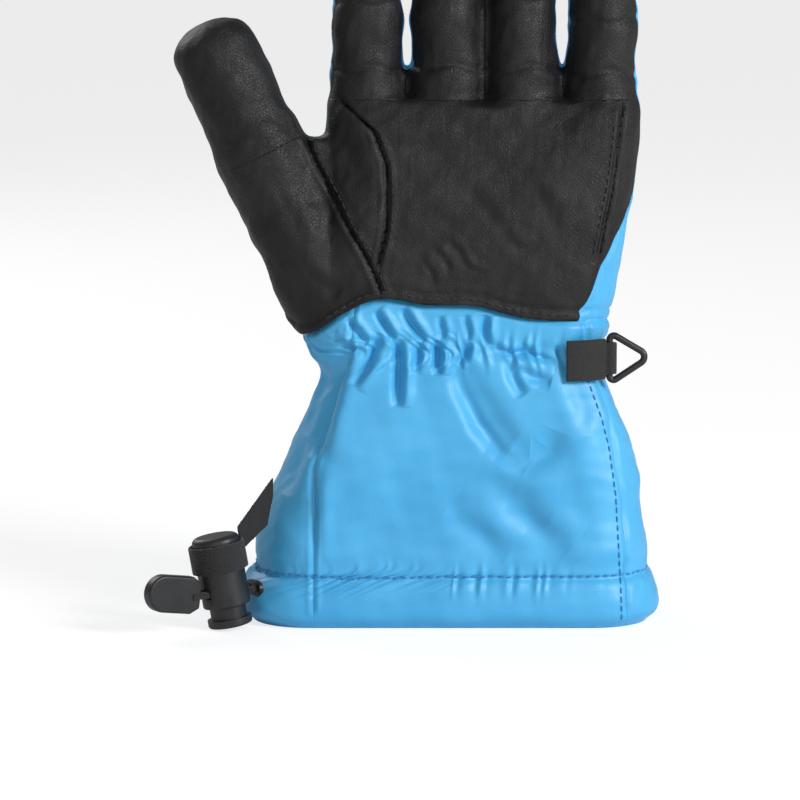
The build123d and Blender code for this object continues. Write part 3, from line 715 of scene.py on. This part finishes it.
for name, (test, ply, nodes) in hand_pieces.items():
    piece = part_of(skin, name, test)
    thicken(piece, ply)
    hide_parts(*nodes)
    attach(piece, "glove")
    (cloth_parts if "cloth" in name else leather_parts).append(piece)

SKIN_PLY, THUMB_SKIN_PLY = 1.2, 1.3
middles = [(knuckles[a][0] + knuckles[b][0]) / 2 for a, b in zip(FINGERS, FINGERS[1:])]
bounds_x = [-56.0] + middles + [200.0]
for number, finger in enumerate(FINGERS):
    low_x, high_x = bounds_x[number], bounds_x[number + 1]
    start = (knuckles[finger][0] * MM, 0, CROTCH_Z * MM)
    for name, wanted, node in (("leather_front", True, "leather"), ("cloth_back", False, "back_shell")):
        piece = part_of(skin, f"{finger}_{name}", lambda p: is_finger(p) & (p[:, 0] > low_x)
                        & (p[:, 0] < high_x) & (in_leather(p) == wanted))
        thicken(piece, SKIN_PLY)
        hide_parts(f"{finger}_finger_{node}")
        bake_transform(piece)
        (leather_parts if wanted else cloth_parts).append(piece)

for name, wanted, node in (("thumb_front_skin", True, "thumb_leather"),
                           ("thumb_rear_skin", False, "thumb_back_leather")):
    piece = part_of(skin, name, lambda p: is_thumb(p) & ((p[:, 1] < THUMB_KNUCKLE[1] + 3) == wanted))
    thicken(piece, THUMB_SKIN_PLY)
    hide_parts(node)
    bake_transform(piece)
    leather_parts.append(piece)
bpy.data.objects.remove(skin)

# ---- padding inside the hand: quilted sleeves ----------------------------------------------
SLEEVE_GAP, SLEEVE_DEPTH_GAP = 3, 3.4
quilt_parts = []


def quilted_sleeve(finger, body, stall, length, radius):
    """Padding of one finger or the thumb."""
    root, along, side = stall
    rings = stall_rings(root, along, side, 6, length, radius - SLEEVE_GAP, radius - SLEEVE_DEPTH_GAP, 0.6, 3.0)
    sleeve = mesh_object(f"{finger}_quilted_sleeve", *tube(rings))
    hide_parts(*(f"{body}_{ply}" for ply in ("membrane", "insulation", "lining")))
    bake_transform(sleeve)
    quilt_parts.append(sleeve)


for finger in FINGERS:
    fx, tip = knuckles[finger]
    stall = np.array([fx, 0, KNUCKLE_Z]), np.array([0, 0, 1.0]), np.array([1.0, 0, 0])
    quilted_sleeve(finger, f"{finger}_finger", stall, tip - KNUCKLE_Z, FINGER_R)
quilted_sleeve("thumb", "thumb", (THUMB_KNUCKLE, THUMB_AXIS, THUMB_SIDE), 50.0, THUMB_R)
slab = []
for z_here in np.linspace(122, 199, 24):
    line = section(z_here, 5.5 + 0.35 * math.sin(z_here * 0.8))
    run = np.concatenate([[0], np.cumsum(np.linalg.norm(np.diff(line, axis=0), axis=1))])
    even = np.linspace(0, run[-1], 90, endpoint=False)
    slab.append(np.stack([np.interp(even, run, line[:, 0]), np.interp(even, run, line[:, 1]),
                          np.full(90, z_here)], 1))
hand_quilt = mesh_object("hand_quilted_wadding", *tube(slab))
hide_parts("hand_membrane", "palm_insulation", "hand_back_insulation", "hand_lining")
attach(hand_quilt, "glove")
quilt_parts.append(hand_quilt)
for piece in (cuff_front, cuff_back, batt_front, batt_back, lining):
    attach(piece, "glove")
quilt_parts += [batt_front, batt_back]


# ---- hem facing, stitches, webbing and cord ----------------------------------------------
facing_rings = [(0.35, 1.4), (0.35, 5.4), (5.0, 5.8), (12.0, 5.8), (20.0, 5.6)]
facing_points = []
for z, inset in facing_rings:
    outline = section(z, inset)
    facing_points.append(np.column_stack([outline, np.full(len(outline), z)]))
hem_facing = mesh_object("hem_facing_cloth", np.vstack(facing_points),
                         grid_faces(len(facing_rings), len(facing_points[0]), True))
turned = hem_facing.modifiers.new("ply", "SOLIDIFY")
turned.thickness = 0.6 * MM
apply_modifiers(hem_facing)
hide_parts("hem_facing")
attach(hem_facing, "glove")
cloth_parts.append(hem_facing)


def surface_tree(things):
    """Search tree over the faces of several pieces, in millimetres."""
    points, faces, start = [], [], 0
    for thing in things:
        own = points_of(thing)[0]
        points.extend(Vector(p) for p in own)
        faces.extend([start + v for v in face.vertices] for face in thing.data.polygons)
        start += len(own)
    return BVHTree.FromPolygons(points, faces)


STITCH, STITCH_GAP, THREAD_R = 2.5, 1.0, 0.34


def stitch_line(name, tree, route, cast=True):
    """Row of raised stitches along a route, laid on the surface behind it."""
    route = np.array(route, float)
    run = np.concatenate([[0], np.cumsum(np.linalg.norm(np.diff(route, axis=0), axis=1))])

    def on_surface(at):
        spot = Vector([np.interp(at, run, route[:, k]) for k in range(3)])
        if cast:
            return tree.ray_cast(Vector((spot.x, -200, spot.z)), Vector((0, 1, 0)))[:2]
        place, normal = tree.find_nearest(spot)[:2]
        outward = Vector((spot.x, spot.y, 0))
        return place, normal if normal.dot(outward) > 0 else -normal

    points, faces = [], []
    at = 0.5
    while at + STITCH < run[-1]:
        spots = [on_surface(at + STITCH * share) for share in (0.0, 0.5, 1.0)]
        at += STITCH + STITCH_GAP
        if any(spot[0] is None for spot in spots):
            continue
        lift = [THREAD_R * 0.2, THREAD_R * 0.8, THREAD_R * 0.2]
        line = [np.array(spot[0] + spot[1] * up) for spot, up in zip(spots, lift)]
        if np.linalg.norm(line[2] - line[0]) > 2 * STITCH:
            continue
        rings = []
        for share, thick in ((0, 0.35), (0.2, 0.95), (0.5, 1.0), (0.8, 0.95), (1, 0.35)):
            first, middle, last = (1 - share) * (1 - 2 * share), 4 * share * (1 - share), share * (2 * share - 1)
            centre = line[0] * first + line[1] * middle + line[2] * last
            along = (line[2] - line[0]) / np.linalg.norm(line[2] - line[0])
            one = np.cross(along, np.array(spots[1][1]))
            one /= np.linalg.norm(one)
            two = np.cross(along, one)
            rings.append([centre + thick * THREAD_R * (math.cos(a) * one + math.sin(a) * two)
                          for a in np.linspace(0, 2 * math.pi, 6, endpoint=False)])
        own_points, own_faces = tube(rings)
        faces.extend([len(points) + int(v) for v in face] for face in own_faces)
        points.extend(own_points)
    made = mesh_object(name, points, faces)
    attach(made, "glove")
    return made


cuff_tree = surface_tree([cuff_front, cuff_back])
hand_tree = surface_tree(list(leather_parts))
hem_loop = np.column_stack([section(HEM_STITCH + 0.6), np.full(len(section(HEM_STITCH)), HEM_STITCH + 0.6)])
rise = np.linspace(3, 112, 80)
low_rise, high_rise = np.linspace(134, 194, 50), np.linspace(147, 200, 50)
blue_stitches = [
    stitch_line("hem_stitches", cuff_tree, np.vstack([hem_loop, hem_loop[:1]]), False),
    stitch_line("side_seam_stitches", cuff_tree, [(np.interp(z, *RIGHT_SEAM) - 2.0, 0, z) for z in rise]),
]
black_stitches = [
    stitch_line("palm_hem_stitches", hand_tree,
                [(x, 0, np.interp(x, *SEAM_ARCH) + 2.4) for x in np.linspace(-50, 52, 80)]),
    stitch_line("thumb_seam_stitches", hand_tree, [(np.interp(z, *THUMB_SEAM) + 2.2, 0, z) for z in low_rise]),
    stitch_line("fold_seam_stitches", hand_tree, [(np.interp(z, *FOLD_SEAM) + 2.2, 0, z) for z in high_rise]),
    stitch_line("strip_seam_stitches", hand_tree, [(np.interp(z, *STRIP_SEAM) - 2.2, 0, z) for z in high_rise]),
]


def woven_copy(node_name, name, body, voxel, rib, depth, rounds=3):
    """The node's band or cord with rounded edges and its weave raised in the mesh."""
    source = frame["nodes"][node_name]
    mesh = bpy.data.meshes.new_from_object(source.evaluated_get(bpy.context.evaluated_depsgraph_get()))
    mesh.transform(source.matrix_world)
    thing = bpy.data.objects.new(name, mesh)
    bpy.context.collection.objects.link(thing)
    fine = thing.modifiers.new("fine", "REMESH")
    fine.mode, fine.voxel_size = "VOXEL", voxel * MM
    fine.use_smooth_shade = True
    soft = thing.modifiers.new("soft", "SMOOTH")
    soft.iterations = rounds
    apply_modifiers(thing)
    points, normals = points_of(thing)
    x, y, z = points.T
    weave = np.sin((x + z) * 2 * np.pi / rib) * np.sin((y - z) * 2 * np.pi / rib)
    set_points(thing, points + normals * (depth * (weave - 1.3))[:, None])
    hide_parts(node_name)
    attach(thing, body)
    return thing


webbing_parts = [
    woven_copy("lock_strap", "lock_strap_webbing", "glove", 0.4, 1.5, 0.09),
    woven_copy("ring_tab", "ring_tab_webbing", "glove", 0.4, 1.5, 0.09),
]
cord_parts = [
    woven_copy("hem_drawcord", "hem_drawcord_braid", "glove", 0.4, 1.3, 0.08),
    woven_copy("cord_tails", "cord_tails_braid", "pull", 0.3, 1.3, 0.08),
]

# ---- materials --------------------------------------------------------------------------
class Finish:
    """A new material with its surface shader, and short ways to add nodes to it."""

    def __init__(self, name):
        self.made = bpy.data.materials.new(name)
        self.made.use_nodes = True
        self.tree = self.made.node_tree
        self.shader = self.tree.nodes["Principled BSDF"]

    def node(self, kind, **settings):
        added = self.tree.nodes.new(kind)
        for key, value in settings.items():
            setattr(added, key, value)
        return added

    def link(self, source, target):
        self.tree.links.new(source, target)

    def place(self, stretch=(1, 1, 1)):
        """Object coordinates, stretched."""
        mapping = self.node("ShaderNodeMapping")
        mapping.inputs["Scale"].default_value = stretch
        self.link(self.node("ShaderNodeTexCoord").outputs["Object"], mapping.inputs["Vector"])
        return mapping.outputs["Vector"]

    def noise(self, place, scale, detail=4.0):
        n = self.node("ShaderNodeTexNoise")
        n.inputs["Scale"].default_value = scale
        n.inputs["Detail"].default_value = detail
        n.inputs["Roughness"].default_value = 0.55
        self.link(place, n.inputs["Vector"])
        return n.outputs["Fac"]

    def ramp(self, source, low, high, start=0.3, end=0.7):
        """Two-colour ramp driven by a value."""
        ramp = self.node("ShaderNodeValToRGB")
        ramp.color_ramp.elements[0].position, ramp.color_ramp.elements[0].color = start, low
        ramp.color_ramp.elements[1].position, ramp.color_ramp.elements[1].color = end, high
        self.link(source, ramp.inputs["Fac"])
        return ramp.outputs["Color"]

    def bump(self, sources):
        """Chain of bumps, each a height, a strength and a distance in metres."""
        last = None
        for height, strength, distance in sources:
            bump = self.node("ShaderNodeBump")
            bump.inputs["Strength"].default_value = strength
            bump.inputs["Distance"].default_value = distance
            self.link(height, bump.inputs["Height"])
            if last is not None:
                self.link(last, bump.inputs["Normal"])
            last = bump.outputs["Normal"]
        self.link(last, self.shader.inputs["Normal"])

    def rough(self, source, low, high):
        spread = self.node("ShaderNodeMapRange")
        spread.inputs["To Min"].default_value = low
        spread.inputs["To Max"].default_value = high
        self.link(source, spread.inputs["Value"])
        self.link(spread.outputs["Result"], self.shader.inputs["Roughness"])


def leather_material():
    """Black grained leather, greyer where it is rubbed."""
    m = Finish("black_grained_leather")
    place = m.place()
    cloud = m.noise(place, 38.0, 5.0)
    colour = m.ramp(cloud, (0.004, 0.004, 0.0045, 1), (0.013, 0.013, 0.0145, 1), 0.36, 0.70)
    m.link(colour, m.shader.inputs["Base Color"])
    cells = m.node("ShaderNodeTexVoronoi", feature="DISTANCE_TO_EDGE")
    cells.inputs["Scale"].default_value = 900.0
    m.link(place, cells.inputs["Vector"])
    grain = m.node("ShaderNodeMapRange")
    grain.inputs["From Max"].default_value = 0.12
    m.link(cells.outputs["Distance"], grain.inputs["Value"])
    fine = m.noise(place, 2600.0, 2.0)
    m.rough(m.noise(place, 120.0, 4.0), 0.40, 0.62)
    m.bump([(grain.outputs["Result"], 0.35, 0.0003), (fine, 0.25, 0.0002),
                         (m.noise(place, 240.0, 3.0), 0.35, 0.0008)])
    m.shader.inputs["Specular IOR Level"].default_value = 0.32
    return m.made


def nylon_material(name="sky_blue_nylon", low=(0.045, 0.35, 0.66, 1), high=(0.075, 0.43, 0.76, 1)):
    """Satin woven nylon."""
    m = Finish(name)
    place = m.place()
    colour = m.ramp(m.noise(place, 26.0, 4.0), low, high, 0.3, 0.7)
    m.link(colour, m.shader.inputs["Base Color"])
    warp = m.node("ShaderNodeTexWave", wave_type="BANDS", bands_direction="X")
    weft = m.node("ShaderNodeTexWave", wave_type="BANDS", bands_direction="Z")
    for wave in (warp, weft):
        wave.inputs["Scale"].default_value = 420.0
        wave.inputs["Distortion"].default_value = 0.6
        m.link(place, wave.inputs["Vector"])
    weave = m.node("ShaderNodeMath", operation="MULTIPLY")
    m.link(warp.outputs["Fac"], weave.inputs[0])
    m.link(weft.outputs["Fac"], weave.inputs[1])
    m.rough(m.noise(place, 90.0, 3.0), 0.40, 0.52)
    m.bump([(weave.outputs["Value"], 0.22, 0.00015),
                         (m.noise(place, 300.0, 3.0), 0.10, 0.0005)])
    m.shader.inputs["Sheen Weight"].default_value = 0.25
    m.shader.inputs["Sheen Roughness"].default_value = 0.35
    m.shader.inputs["Sheen Tint"].default_value = (0.55, 0.80, 1.0, 1)
    m.shader.inputs["Specular IOR Level"].default_value = 0.5
    return m.made


def woven_material(name, low, high, scale, rough=0.75):
    """Coarse woven or braided band."""
    m = Finish(name)
    place = m.place()
    rib = m.node("ShaderNodeTexWave", wave_type="BANDS", bands_direction="DIAGONAL")
    rib.inputs["Scale"].default_value = scale
    rib.inputs["Distortion"].default_value = 0.8
    m.link(place, rib.inputs["Vector"])
    cross = m.node("ShaderNodeTexWave", wave_type="BANDS", bands_direction="Z")
    cross.inputs["Scale"].default_value = scale * 0.8
    m.link(place, cross.inputs["Vector"])
    mixed = m.node("ShaderNodeMath", operation="MULTIPLY")
    m.link(rib.outputs["Fac"], mixed.inputs[0])
    m.link(cross.outputs["Fac"], mixed.inputs[1])
    colour = m.ramp(mixed.outputs["Value"], low, high, 0.1, 0.9)
    m.link(colour, m.shader.inputs["Base Color"])
    m.rough(m.noise(place, 700.0, 3.0), rough - 0.1, rough + 0.1)
    m.bump([(mixed.outputs["Value"], 0.6, 0.0004)])
    m.shader.inputs["Sheen Weight"].default_value = 0.15
    return m.made


def plastic_material(name, low, high, rough=0.42):
    """Moulded plastic with a fine spark-eroded skin."""
    m = Finish(name)
    place = m.place()
    cloud = m.noise(place, 160.0, 4.0)
    m.link(m.ramp(cloud, low, high), m.shader.inputs["Base Color"])
    m.rough(cloud, rough - 0.08, rough + 0.1)
    m.bump([(m.noise(place, 1800.0, 2.0), 0.25, 0.0002)])
    return m.made


def wire_material():
    """Drawn steel wire."""
    m = Finish("drawn_wire")
    place = m.place((1, 1, 6))
    cloud = m.noise(place, 900.0, 3.0)
    steel = m.ramp(cloud, (0.35, 0.35, 0.37, 1), (0.6, 0.6, 0.62, 1))
    m.link(steel, m.shader.inputs["Base Color"])
    m.shader.inputs["Metallic"].default_value = 1.0
    m.rough(cloud, 0.2, 0.4)
    return m.made


leather = leather_material()
nylon = nylon_material()
black_woven = woven_material("black_webbing_weave", (0.004, 0.004, 0.004, 1), (0.02, 0.02, 0.021, 1), 520.0)
braid = woven_material("black_braid", (0.004, 0.004, 0.004, 1), (0.022, 0.022, 0.023, 1), 900.0)
wadding = woven_material("quilted_wadding", (0.55, 0.54, 0.50, 1), (0.72, 0.71, 0.66, 1), 160.0, 0.85)
fleece = woven_material("navy_fleece", (0.02, 0.04, 0.10, 1), (0.05, 0.08, 0.18, 1), 260.0, 0.88)
plastic = plastic_material("black_moulded_plastic", (0.008, 0.008, 0.009, 1), (0.016, 0.016, 0.018, 1))
lacquer = plastic_material("black_lacquer", (0.008, 0.008, 0.009, 1), (0.015, 0.015, 0.016, 1), 0.3)
wire = wire_material()
thread = woven_material("blue_thread", (0.02, 0.22, 0.52, 1), (0.05, 0.34, 0.68, 1), 900.0, 0.6)


def dress(thing, made):
    """Give a piece its material."""
    thing.data.materials.clear()
    thing.data.materials.append(made)


for piece in leather_parts:
    dress(piece, leather)
for piece in cloth_parts:
    dress(piece, nylon)
for piece in quilt_parts:
    dress(piece, wadding)
dress(lining, fleece)
for piece in blue_stitches:
    dress(piece, thread)
for piece in black_stitches:
    dress(piece, braid)
for piece in webbing_parts:
    dress(piece, black_woven)
for piece in cord_parts:
    dress(piece, braid)
NODE_MATERIALS = {"moulded_plastic": plastic, "spring_steel": wire, "eyelet_metal": lacquer, "drawcord": braid,
                  "black_webbing": black_woven}
for entry in frame["record"]["subparts"]:
    if entry["material_slot"] in NODE_MATERIALS:
        node_object = frame["nodes"][entry["node"]]
        for index in range(max(1, len(node_object.material_slots))):
            if not node_object.material_slots:
                node_object.data.materials.append(None)
            node_object.material_slots[index].material = NODE_MATERIALS[entry["material_slot"]]

# ---- floor, light and camera --------------------------------------------------------------
def stage_floor():
    """White floor that keeps the glove's shadow."""
    mesh = bpy.data.meshes.new("floor")
    mesh.from_pydata([(-30, -30, 0), (30, -30, 0), (30, 30, 0), (-30, 30, 0)], [], [(0, 1, 2, 3)])
    floor = bpy.data.objects.new("floor", mesh)
    bpy.context.collection.objects.link(floor)
    m = Finish("white_floor")
    m.shader.inputs["Base Color"].default_value = (0.92, 0.92, 0.92, 1)
    m.shader.inputs["Roughness"].default_value = 0.9
    light = m.node("ShaderNodeEmission")
    light.inputs["Color"].default_value = (1, 1, 1, 1)
    light.inputs["Strength"].default_value = 1.22
    path = m.node("ShaderNodeLightPath")
    mixed = m.node("ShaderNodeMixShader")
    share = m.node("ShaderNodeMath", operation="MULTIPLY")
    share.inputs[1].default_value = 0.6
    m.link(path.outputs["Is Camera Ray"], share.inputs[0])
    m.link(share.outputs["Value"], mixed.inputs["Fac"])
    m.link(m.shader.outputs["BSDF"], mixed.inputs[1])
    m.link(light.outputs["Emission"], mixed.inputs[2])
    m.link(mixed.outputs["Shader"], m.tree.nodes["Material Output"].inputs["Surface"])
    mesh.materials.append(m.made)


def world_light(strength):
    """White to the camera, soft grey to the glove."""
    world = bpy.data.worlds.new("studio")
    bpy.context.scene.world = world
    world.use_nodes = True
    tree = world.node_tree
    back = tree.nodes["Background"]
    path = tree.nodes.new("ShaderNodeLightPath")
    see = tree.nodes.new("ShaderNodeMapRange")
    see.inputs["To Min"].default_value = strength
    see.inputs["To Max"].default_value = 1.0
    back.inputs["Color"].default_value = (1, 1, 1, 1)
    tree.links.new(path.outputs["Is Camera Ray"], see.inputs["Value"])
    tree.links.new(see.outputs["Result"], back.inputs["Strength"])


def lamp(name, place, target, power, size):
    data = bpy.data.lights.new(name, "AREA")
    data.energy, data.size = power, size
    thing = bpy.data.objects.new(name, data)
    bpy.context.collection.objects.link(thing)
    thing.location = place
    thing.rotation_mode = "QUATERNION"
    thing.rotation_quaternion = (Vector(target) - Vector(place)).to_track_quat("-Z", "Y")


stage_floor()
world_light(0.27)
middle = (0.0, 0.0, 0.13)
lamp("key", (1.35, -1.05, 0.85), middle, 30, 0.55)
lamp("front_fill", (-0.1, -1.8, 0.7), middle, 5, 1.0)
lamp("rim", (-0.9, 1.1, 1.0), middle, 8, 0.8)

scene = bpy.context.scene
scene.view_settings.view_transform = "Standard"
DISTANCE = 1.7
LOOK_AT = Vector((-0.0204, 0, 0.0869))
FRAME_WIDTH = 0.32
lens_data = bpy.data.cameras.new("camera")
lens_data.sensor_width = 36.0
lens_data.lens = 36.0 * DISTANCE / FRAME_WIDTH
camera = bpy.data.objects.new("camera", lens_data)
bpy.context.collection.objects.link(camera)
toward = Vector((0, math.cos(EYE_TILT), -math.sin(EYE_TILT)))
camera.location = LOOK_AT - toward * DISTANCE
camera.rotation_mode = "QUATERNION"
camera.rotation_quaternion = toward.to_track_quat("-Z", "Y")
scene.camera = camera
